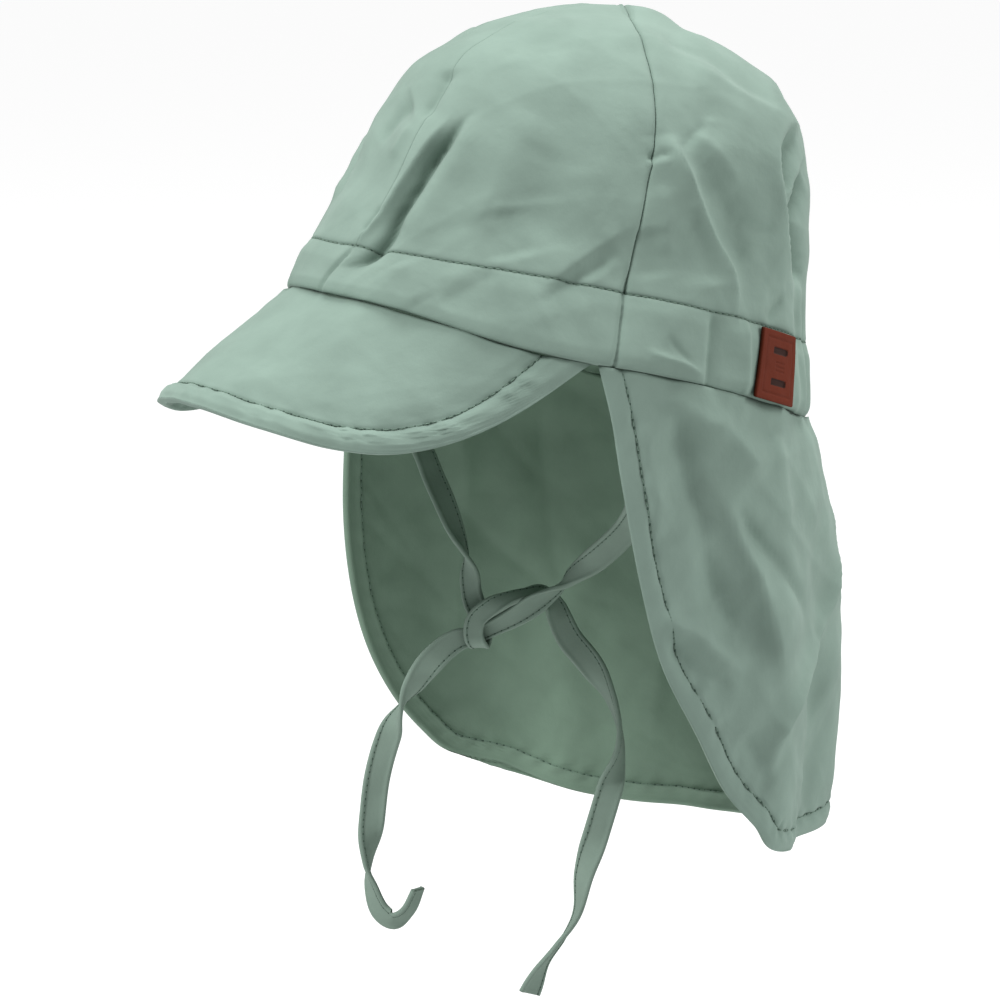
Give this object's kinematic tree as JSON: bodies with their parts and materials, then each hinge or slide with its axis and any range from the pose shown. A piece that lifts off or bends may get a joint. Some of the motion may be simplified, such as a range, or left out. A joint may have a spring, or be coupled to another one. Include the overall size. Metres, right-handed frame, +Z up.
{
  "type": "legionnaire cap",
  "caption": "Child's soft cotton sun cap with a panelled crown, a banded edge, a soft peak, a neck flap and two cloth ties in a half knot.",
  "frame": {"origin": "middle of the ring where the band sits round the head", "axes": "+Z up as worn, -Y to the front of the cap, +X to the wearer's left"},
  "size_m": [0.1622, 0.2161, 0.2975],
  "materials": {
    "cloth": "matte plain-woven sage green cotton",
    "leather": "brown grained leather"
  },
  "bodies": {
    "root": {"crown_front_left": "cloth", "crown_back_left": "cloth", "crown_back_right": "cloth", "crown_front_right": "cloth", "band": "cloth", "peak": "cloth", "neck_flap": "cloth", "tie_left": "cloth", "tie_right": "cloth", "label_patch": "leather"}
  },
  "joints": []
}
